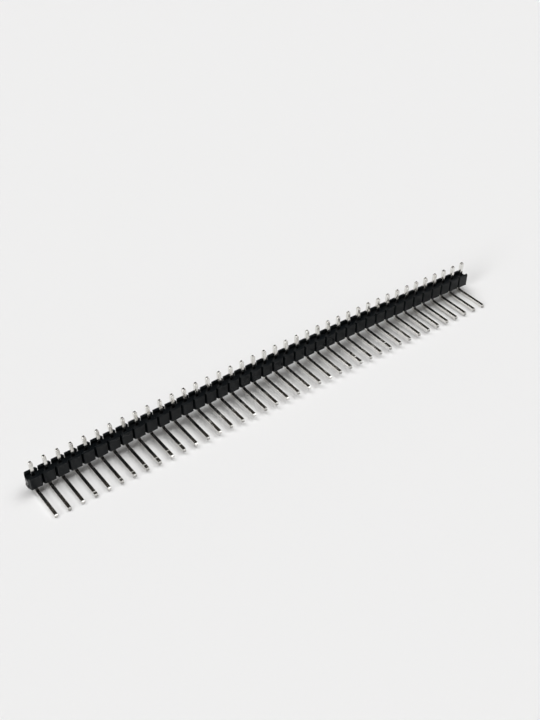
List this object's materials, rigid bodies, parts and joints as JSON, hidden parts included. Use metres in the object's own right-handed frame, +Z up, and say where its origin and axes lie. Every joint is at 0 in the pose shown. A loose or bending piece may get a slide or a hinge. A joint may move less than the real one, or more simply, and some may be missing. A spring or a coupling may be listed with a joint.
{
  "type": "pin header strip",
  "caption": "Right-angle pin header strip: a notched black insulator bar holding a row of bent square contacts, each with a short upright tail and a long mating leg.",
  "frame": {"origin": "middle of the strip's footprint, on the surface that the mating legs stand on", "axes": "+X along the row of contacts, +Y away from the mating legs, +Z up along the tails"},
  "size_m": [0.102, 0.0089, 0.0079],
  "materials": {
    "insulator": "satin black moulded thermoplastic",
    "contact": "bright tin-plated square brass wire"
  },
  "bodies": {
    "root": {"insulator": "insulator", "pin_01": "contact", "pin_02": "contact", "pin_03": "contact", "pin_04": "contact", "pin_05": "contact", "pin_06": "contact", "pin_07": "contact", "pin_08": "contact", "pin_09": "contact", "pin_10": "contact", "pin_11": "contact", "pin_12": "contact", "pin_13": "contact", "pin_14": "contact", "pin_15": "contact", "pin_16": "contact", "pin_17": "contact", "pin_18": "contact", "pin_19": "contact", "pin_20": "contact", "pin_21": "contact", "pin_22": "contact", "pin_23": "contact", "pin_24": "contact", "pin_25": "contact", "pin_26": "contact", "pin_27": "contact", "pin_28": "contact", "pin_29": "contact", "pin_30": "contact", "pin_31": "contact", "pin_32": "contact", "pin_33": "contact", "pin_34": "contact", "pin_35": "contact", "pin_36": "contact", "pin_37": "contact", "pin_38": "contact", "pin_39": "contact", "pin_40": "contact"}
  },
  "joints": []
}
